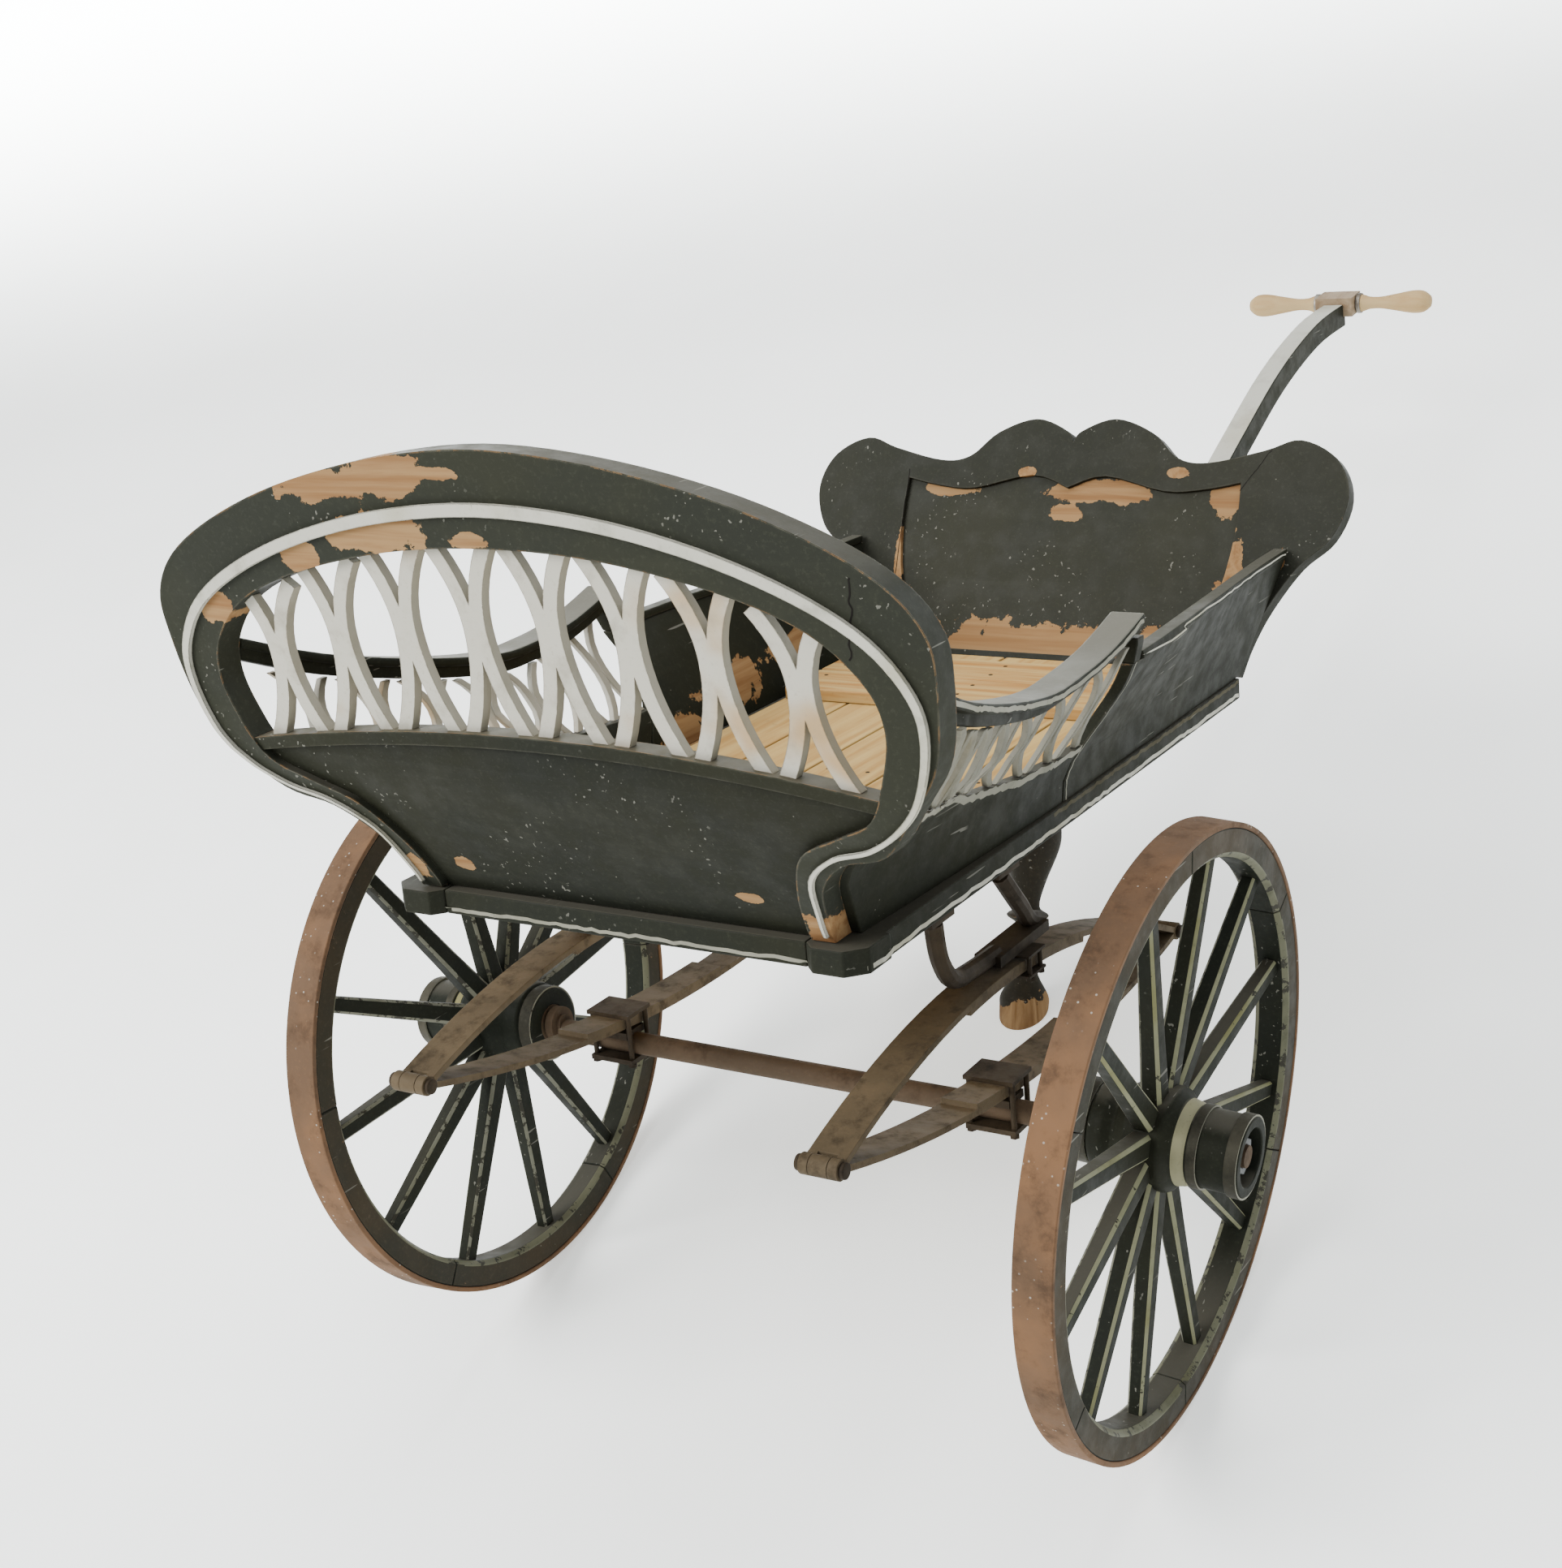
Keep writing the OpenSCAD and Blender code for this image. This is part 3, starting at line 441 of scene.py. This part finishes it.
# Cream lines and pale paint
pale_paint("cream_line", srgb(236, 233, 216), srgb(204, 198, 166), srgb(150, 150, 128),
           stains=0.7, wear=0.9, chips=0.5)
pale_paint("cream_worn", srgb(170, 168, 150), srgb(140, 138, 110), srgb(104, 102, 86), chips=1.0)
pale_paint("spoke_line", srgb(160, 160, 126), srgb(138, 136, 84), srgb(92, 94, 68), stains=0.8, chips=1.15)
pale_paint("rim_line", srgb(128, 128, 104), srgb(104, 102, 72), srgb(72, 72, 56), stains=0.8, chips=1.5)
pale_paint("neck_line", srgb(172, 168, 132), srgb(146, 138, 88), srgb(104, 100, 72), stains=0.9, chips=0.9)
pale_paint("spoke_faint", srgb(140, 140, 122), srgb(110, 108, 80), srgb(84, 84, 66), chips=1.7)
pale_paint("pole_face", srgb(230, 228, 214), srgb(212, 206, 180), srgb(188, 184, 168), wear=0.1, chips=0.0)
# The lattices are darkened on their sides that face across: painted shade with thinner paint.
pale_paint("pale_lattice", srgb(234, 229, 212), srgb(214, 172, 108), srgb(166, 158, 136),
           stains=0.9, wear=0.8, chips=0.35, under=srgb(112, 96, 70), side_shade_and_thin_paint=0.75)
pale_paint("grey_lattice", srgb(186, 183, 166), srgb(156, 142, 106), srgb(122, 120, 104),
           stains=0.7, wear=0.8, chips=0.4, under=srgb(96, 88, 66), side_shade_and_thin_paint=0.6)

# Bare wood
bare_wood("pine_board", srgb(246, 208, 134), srgb(214, 164, 94), "y", srgb(186, 136, 80), 0.4, knots=0.25)
bare_wood("pine_cross", srgb(240, 204, 134), srgb(210, 150, 82), "x", srgb(196, 122, 54), 0.6, knots=0.9)
bare_wood("birch", srgb(232, 200, 146), srgb(212, 170, 112), "x", srgb(192, 142, 84), 0.35)
bare_wood("birch_worn", srgb(196, 172, 140), srgb(150, 122, 92), "y", srgb(118, 92, 66), 0.6)

# Metals and the dark of a crack
rusty("ferrule_metal", srgb(168, 160, 148), srgb(196, 190, 178), srgb(96, 80, 66), rough=0.45, metal=0.6)
rusty("old_iron", srgb(62, 53, 42), srgb(88, 74, 56), srgb(34, 29, 24), rough=0.7)
rusty("axle_iron", srgb(98, 82, 65), srgb(122, 100, 78), srgb(64, 52, 42), rough=0.75)
rusty("spring_steel", srgb(104, 90, 69), srgb(130, 112, 86), srgb(58, 49, 37), scale=44)
rusty("nut_steel", srgb(120, 122, 124), srgb(160, 162, 162), srgb(60, 56, 52), rough=0.5, metal=0.5)
rusty("hub_iron", srgb(62, 60, 50), srgb(92, 88, 74), srgb(38, 38, 32), rough=0.6, metal=0.2)
rusty("gap_dark", srgb(26, 23, 20), srgb(34, 30, 26), srgb(16, 14, 12), rough=0.9, metal=0.0)
tyre_mark = WHEEL["left"] @ Vector((0, -WHEEL_R * 0.24, WHEEL_R * 0.97))
rusty("tyre_iron", srgb(122, 96, 74), srgb(152, 114, 82), srgb(86, 68, 54), specks=0.8, rough=0.78,
      scale=36, spots=[(tyre_mark, (8, 10, 5))], spot_tone=srgb(232, 230, 222))


# ---------------------------------------------------------------- pieces
def make(name, mesh, node, mats, slot=None, replaced=()):
    """Puts a finished mesh in the scene with the given materials, on the node's body, and hides the parts it
    replaces. The slot is not used.
    """
    body = BODY_OF[node]
    slot = slot or SLOT_OF[node]
    piece = bpy.data.objects.new(name, mesh)
    bpy.context.scene.collection.objects.link(piece)
    for m in mats:
        mesh.materials.append(MATS[m])
    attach(piece, body)
    if replaced:
        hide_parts(*replaced)
    return piece


SHARP = math.radians(26)


def smooth_shading(mesh, angle):
    mesh.shade_smooth()
    mesh.set_sharp_from_angle(angle=math.radians(angle))


def refined(node, bevel, mats=None, chooser=None, place=None, segments=2):
    """A CAD node's shape with joined flats and rounded edges.

    The chooser gets each face's centre and normal in the place's frame and picks one of the materials.
    """
    bm = bmesh.new()
    bm.from_mesh(NODES[node].data)
    bmesh.ops.remove_doubles(bm, verts=bm.verts, dist=1e-5)
    bmesh.ops.dissolve_limit(bm, angle_limit=math.radians(0.4), verts=bm.verts, edges=bm.edges)
    hard = [e for e in bm.edges if len(e.link_faces) == 2 and e.calc_face_angle(0) > SHARP]
    bmesh.ops.bevel(bm, geom=hard, offset=bevel * MM, segments=segments, profile=0.6, affect="EDGES",
                    clamp_overlap=True, loop_slide=True)
    if chooser:
        back = place.inverted()
        turn = back.to_3x3()
        for face in bm.faces:
            face.material_index = chooser(back @ face.calc_center_median(), turn @ face.normal)
    mesh = bpy.data.meshes.new(node + "_piece")
    bm.to_mesh(mesh)
    bm.free()
    smooth_shading(mesh, 40)
    piece = make(node + "_piece", mesh, node, mats or [SLOT_OF[node]], replaced=[node])
    weighted = piece.modifiers.new("normals", "WEIGHTED_NORMAL")
    weighted.keep_sharp = True
    return piece


def surface(node):
    data = NODES[node].data
    return BVHTree.FromPolygons([v.co for v in data.vertices], [p.vertices for p in data.polygons])


def strip(name, node, guide, width, mat, lift, wobble):
    """A thin painted line or crack that lies on a CAD node along some guide points."""
    tree = surface(node)
    found = [tree.find_nearest(p) for p in guide]
    points = [f[0] + f[1] * lift * MM for f in found]
    verts, faces = [], []
    for i, (point, hit) in enumerate(zip(points, found)):
        ahead = (points[min(i + 1, len(points) - 1)] - points[max(i - 1, 0)]).normalized()
        out = hit[1].cross(ahead).normalized()
        thin = width * MM / 2 * (1 - wobble * 0.6 * abs(noise.noise(point * 400)))
        shift = out * wobble * width * MM * noise.noise(point * 180)
        verts += [point + shift - out * thin, point + shift + out * thin]
        if i:
            k = 2 * i
            faces.append((k - 2, k - 1, k + 1, k))
    mesh = bpy.data.meshes.new(name)
    mesh.from_pydata([tuple(v) for v in verts], [], faces)
    make(name, mesh, node, [mat])


def between(a, b, count, stray):
    """Points from a to b that stray from the straight line by up to a few mm."""
    points = []
    for i in range(count):
        p = a.lerp(b, i / (count - 1))
        field = p * 90
        away = [noise.noise(field + Vector(seed)) for seed in ((0, 0, 0), (7, 3, 1), (1, 9, 4))]
        points.append(p + Vector(away) * stray * MM)
    return points


def edge_line(node, score, shift, slices=16, axis=1):
    """A smooth guide along a node's edge: the best corner of each slice, moved by a few mm."""
    steps = 5
    points = vertices_in(node, TUB)
    low, high = min(p[axis] for p in points), max(p[axis] for p in points)
    best = {}
    for p in points:
        k = min(int((p[axis] - low) / (high - low) * slices), slices - 1)
        if k not in best or score(p) > score(best[k]):
            best[k] = p
    line = [best[k] for k in sorted(best)]
    guide = []
    for i in range(len(line) - 1):
        a, b, c, d = line[max(i - 1, 0)], line[i], line[i + 1], line[min(i + 2, len(line) - 1)]
        for k in range(steps):
            t = k / steps
            guide.append(0.5 * (2 * b + (c - a) * t + (2 * a - 5 * b + 4 * c - d) * t * t
                                + (3 * b - a - 3 * c + d) * t * t * t))
    guide.append(line[-1])
    return [TUB @ (p + Vector(shift) * MM) for p in guide]


def crack(name, node, start, end, width, stray):
    """A dark crack or open joint between two places given as shares of the node's box."""
    guide = between(at(node, *start), at(node, *end), 22, stray)
    strip(name, node, guide, width, "gap_dark", 0.12, 0.9)


def studs(name, node, points, radius, height, sides=12):
    """Domed iron nail or bolt heads that sit on a CAD node, sunk a little into it."""
    sink = 0.2
    tree = surface(node)
    verts, faces = [], []
    for point in points:
        place, normal, _, _ = tree.find_nearest(point)
        u = normal.orthogonal().normalized()
        v = normal.cross(u)
        first = len(verts)
        for share, lift in ((1.0, -sink), (1.0, 0.35 * height), (0.75, 0.8 * height), (0.3, height)):
            for k in range(sides):
                a = 2 * math.pi * k / sides
                ray = u * math.cos(a) + v * math.sin(a)
                verts.append(place + (ray * radius * share + normal * lift) * MM)
        for ring in range(3):
            for k in range(sides):
                a, b = first + ring * sides + k, first + ring * sides + (k + 1) % sides
                faces.append((a, b, b + sides, a + sides))
        faces.append(tuple(first + 3 * sides + k for k in range(sides)))
    mesh = bpy.data.meshes.new(name)
    mesh.from_pydata([tuple(v) for v in verts], [], faces)
    smooth_shading(mesh, 50)
    make(name, mesh, node, ["old_iron"], "old_iron")


# Each side with the sign of its outward X
SIDES = {"right": -1, "left": 1}


def upward(limit):
    """Picks the second material for the faces that point up, in the tub's frame."""
    return lambda centre, normal: int(normal.z > limit)


# ---------------------------------------------------------------- tub
for side, out in SIDES.items():
    refined(side + "_side_sill", 2.2, ["dark_paint", "cream_worn"],
            lambda c, n: int(n.z < -0.3 and n.x * out > 0.3), TUB)
refined("front_sill", 1.8, ["dark_paint", "cream_worn"], lambda c, n: int(n.z < -0.3 and n.y < -0.3), TUB)
for node in ("rear_sill", "floor_battens"):
    refined(node, 1.5)
refined("floor_boards", 1.4, ["pine_board"])
refined("rear_planks", 1.6, ["pine_cross"])
refined("front_panel", 1.0, ["front_paint"])
refined("front_hoop", 3.0, ["hoop_paint"], segments=3)
refined("hoop_moulding", 2.4, ["cream_line"], segments=3)
refined("front_rail", 2.0, ["dark_paint", "rail_worn"], upward(0.4), TUB)
refined("front_lattice", 1.1, ["pale_lattice"])
for side in SIDES:
    refined(side + "_low_panel", 1.2, ["dark_paint"])
    refined(side + "_rear_panel", 1.2, ["dark_paint"])
    refined(side + "_top_rail", 1.6, ["dark_paint", "rail_dark"], upward(0.8), TUB)
    # The arm rails' upward faces take the light grey paint of a painted highlight.
    refined(side + "_arm_rail", 2.2, ["dark_paint", "rail_top_highlight"], upward(0.5), TUB)
    refined(side + "_arm_post", 1.6)
    refined(side + "_arm_lattice", 1.0, ["grey_lattice" if side == "left" else "pale_lattice"])
refined("back_frame", 2.4, ["stile_paint"], segments=3)
refined("back_panel", 0.6, ["back_paint"])
refined("handle_pole", 2.2, ["dark_paint", "pole_face"],
        lambda c, n: int(n.z > 0.6 and abs(n.x) < 0.3), TUB, segments=3)
refined("handle_block", 4.5, ["birch_worn"], segments=3)
for side in SIDES:
    refined(side + "_grip", 1.2, ["birch"])
refined("grip_rings", 1.6, ["ferrule_metal"], segments=3)
refined("prop_leg", 1.4, ["leg_paint"])
for side in SIDES:
    refined(side + "_body_irons", 1.4, ["old_iron"])
    refined(side + "_top_clamp", 1.0, ["old_iron"])
    refined(side + "_axle_clip", 1.4, ["old_iron"])
refined("axle", 1.0, ["axle_iron"])
refined("axle_nuts", 1.8, ["nut_steel"])

# The springs' seat heights, and each spring and the spring bolts with a mesh of its own
seat_top = tub_box("left_upper_spring")[1].z
seat_low = tub_box("left_lower_spring")[0].z
for side in SIDES:
    for leaf, seat in (("upper", seat_top), ("lower", seat_low)):
        piece = refined("%s_%s_spring" % (side, leaf), 1.6, ["spring_steel"])
        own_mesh(piece)
piece = refined("spring_bolts", 1.4, ["old_iron"])
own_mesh(piece)


# ---------------------------------------------------------------- wheels
def radial(centre, normal):
    """How far a face points away from the wheel's axis."""
    return normal.dot(Vector((0, centre.y, centre.z)).normalized())


def felloe_coat(centre, normal):
    """Bare wear on the flat sides and a faint line on the inner chamfers."""
    if abs(normal.x) > 0.985:
        return 2
    return int(abs(normal.x) > 0.5 and radial(centre, normal) < -0.1)


def spoke_coat(centre, normal):
    """A line on each spoke's chamfers, fainter on the side towards the carriage."""
    if not 0.5 < abs(normal.x) < 0.92:
        return 0
    return 1 if normal.x > 0 else 2


def hub_coat(centre, normal):
    """A cream ring round the hub's neck."""
    return int(14 * MM < centre.x < 25 * MM and normal.x > 0.05)


for side, place in WHEEL.items():
    refined(side + "_tyre", 1.4, ["tyre_iron"])
    refined(side + "_felloes", 1.2, ["wheel_paint", "rim_line", "felloe_paint"], felloe_coat, place)
    refined(side + "_spokes", 0.9, ["wheel_paint", "spoke_line", "spoke_faint"], spoke_coat, place)
    refined(side + "_hub", 1.6, ["wheel_paint", "neck_line"], hub_coat, place)
    refined(side + "_hub_bands", 0.7, ["hub_iron", "cream_worn"], lambda c, n: int(abs(n.x) > 0.3), place)
    refined(side + "_hub_box", 0.8, ["axle_iron"])

# ---------------------------------------------------------------- painted lines
END_GAP, CORNER_GAP = 4 * MM, 12 * MM
# Each line's height and width in mm, its material, and the share of the sill before its start
SILL_LINES = {"lower": (5.0, 4.2, "cream_line", 0.0), "upper": (19.0, 4.0, "rail_worn", 0.42)}
for side, out in SIDES.items():
    node = side + "_side_sill"
    low, high = tub_box(node)
    face = high.x if side == "left" else low.x
    for name, (rise, width, mat, start) in SILL_LINES.items():
        front = low.y + (high.y - low.y) * start + CORNER_GAP
        guide = between(TUB @ Vector((face, front, low.z + rise * MM)),
                        TUB @ Vector((face, high.y - END_GAP, low.z + rise * MM)), 90, 0.5)
        strip("%s_sill_%s_line" % (side, name), node, guide, width, mat, 0.2, 0.5)
    node = side + "_arm_rail"
    guide = edge_line(node, lambda p: p.x * out + 0.3 * p.z, (out * 8, 0, -4.5))
    strip(node + "_line", node, guide, 4.2, "cream_worn", 0.25, 0.35)
    node = side + "_top_rail"
    guide = edge_line(node, lambda p: p.x * out + 0.6 * p.z, (out * 6, 0, -3.0), slices=8)
    strip(node + "_line", node, guide, 1.8, "cream_line", 0.25, 0.8)
    node = side + "_rear_panel"
    guide = edge_line(node, lambda p: p.x * out - 3 * p.y, (out * 8, 6.0, 0), slices=12, axis=2)
    strip(node + "_line", node, guide, 2.4, "cream_worn", 0.3, 0.8)
    node = side + "_low_panel"
    guide = edge_line(node, lambda p: p.z + 0.4 * p.x * out, (out * 6, 0, -7.0), slices=14)
    strip(node + "_line", node, guide, 8.0, "cream_worn", 0.25, 0.5)
low, high = tub_box("front_sill")
line_z = low.z + 5.0 * MM
guide = between(TUB @ Vector((low.x, low.y, line_z)), TUB @ Vector((high.x, low.y, line_z)), 50, 0.5)
strip("front_sill_line", "front_sill", guide, 3.6, "cream_worn", 0.2, 0.5)

# ---------------------------------------------------------------- small details
crack("hoop_crack_right", "front_hoop", (0.925, 0.4, 0.80), (0.91, 0.3, 0.66), 1.6, 4.0)
crack("back_joint_left", "back_frame", (0.185, 0.3, 0.36), (0.185, 0.7, 0.83), 1.0, 0.6)
crack("back_joint_right", "back_frame", (0.815, 0.6, 0.80), (0.86, 0.8, 0.90), 1.0, 1.5)

# Two nails side by side at two places along each floor board
BOARDS, NAIL_SHIFT = 5, 22 * MM
low, high = tub_box("floor_boards")
board_w = (high.x - low.x) / BOARDS
nails = [TUB @ Vector((low.x + board_w * (i + 0.5) + shift, y, high.z))
         for i in range(BOARDS) for y in (-0.10, 0.13) for shift in (-NAIL_SHIFT, NAIL_SHIFT)]
studs("board_nails", "floor_boards", nails, 2.2, 0.5)

# Two nails at each end and at the middle of each rear plank
EDGE, PLANK_NAILS = 20 * MM, 36 * MM
low, high = tub_box("rear_planks")
rows = (low.y + EDGE, low.y + EDGE + PLANK_NAILS, high.y - EDGE - PLANK_NAILS, high.y - EDGE)
nails = [TUB @ Vector((x, y, high.z)) for x in (low.x + EDGE, 0, high.x - EDGE) for y in rows]
studs("plank_nails", "rear_planks", nails, 2.4, 0.5)

# Four bolts through the pads of each side's irons
for side, out in SIDES.items():
    node = side + "_body_irons"
    low, high = tub_box(node)
    face = high.x if side == "left" else low.x
    pads = [TUB @ Vector((face - out * 13 * MM, y, high.z - 12 * MM)) for y in (-0.136, -0.104, -0.012, 0.02)]
    studs(side + "_pad_bolts", node, pads, 5.0, 4.0, sides=8)

# ---------------------------------------------------------------- stage
g = Graph("floor_white")
marks = g.span(g.noise(1.6, 6, 0.6), 0.35, 0.7)
tone = g.mix(marks, srgb(246, 247, 245, dim=1), srgb(240, 241, 238, dim=1))
scuffs = g.span(g.noise(24, 8, 0.75, g.place(scale=(1, 0.4, 1))), 0.66, 0.70, 0, 0.3)
tone = g.mix(scuffs, tone, srgb(190, 190, 184, dim=1))
# The floor brightens with its distance behind the carriage, into a white backdrop
depth = g.dot(g.where, (-0.3, 1.0, 0.0))
g.put(g.shader.inputs["Emission Color"], srgb(250, 255, 253, dim=1))
g.put(g.shader.inputs["Emission Strength"], g.span(depth, 1.8, 6.5, 0.7, 15.0))
g.finish(tone, 0.6)
FLOOR_HALF = 14
square = [(x * FLOOR_HALF, y * FLOOR_HALF, 0) for x, y in ((-1, -1), (1, -1), (1, 1), (-1, 1))]
mesh = bpy.data.meshes.new("floor")
mesh.from_pydata(square, [], [(0, 1, 2, 3)])
mesh.materials.append(g.mat)
floor = bpy.data.objects.new("floor", mesh)
bpy.context.scene.collection.objects.link(floor)
floor.location.z = box_before[0][2]

world = bpy.data.worlds.new("studio")
bpy.context.scene.world = world
world.use_nodes = True
sky = world.node_tree.nodes["Background"]
sky.inputs["Color"].default_value = (0.93, 0.97, 1.0, 1)
sky.inputs["Strength"].default_value = 0.9

MIDDLE = (Vector(box_before[0]) + Vector(box_before[1])) / 2
SOFTBOX = 3.0


def lamp(name, offset, power):
    """A large square lamp that faces the middle of the carriage."""
    data = bpy.data.lights.new(name, "AREA")
    data.energy, data.size = power, SOFTBOX
    item = bpy.data.objects.new(name, data)
    item.location = MIDDLE + Vector(offset)
    item.rotation_euler = (MIDDLE - item.location).to_track_quat("-Z", "Y").to_euler()
    bpy.context.scene.collection.objects.link(item)


lamp("key", (-2.6, -3.0, 3.6), 470)
lamp("fill", (3.4, -1.6, 2.4), 16)
lamp("top", (0.2, 1.2, 3.8), 165)

# ---------------------------------------------------------------- camera
# The viewpoint belongs to the carriage with its handle held up by this angle, and it keeps its place
# against the tub. The eye is given in wheel radii from the middle of the axle.
HELD_UP = math.radians(9.2)
EYE = Vector((3.813, -6.268, 2.207)) * WHEEL_R
YAW, PITCH = math.radians(31.84), math.radians(-9.39)
held = TUB @ Matrix.Rotation(-HELD_UP, 4, "X")
look = bpy.data.cameras.new("camera")
look.sensor_width, look.lens = 36, 51.23
camera = bpy.data.objects.new("camera", look)
bpy.context.scene.collection.objects.link(camera)
turn = Matrix.Rotation(YAW, 4, "Z") @ Matrix.Rotation(math.radians(90) + PITCH, 4, "X")
camera.matrix_world = held @ Matrix.Translation(EYE) @ turn
bpy.context.scene.camera = camera
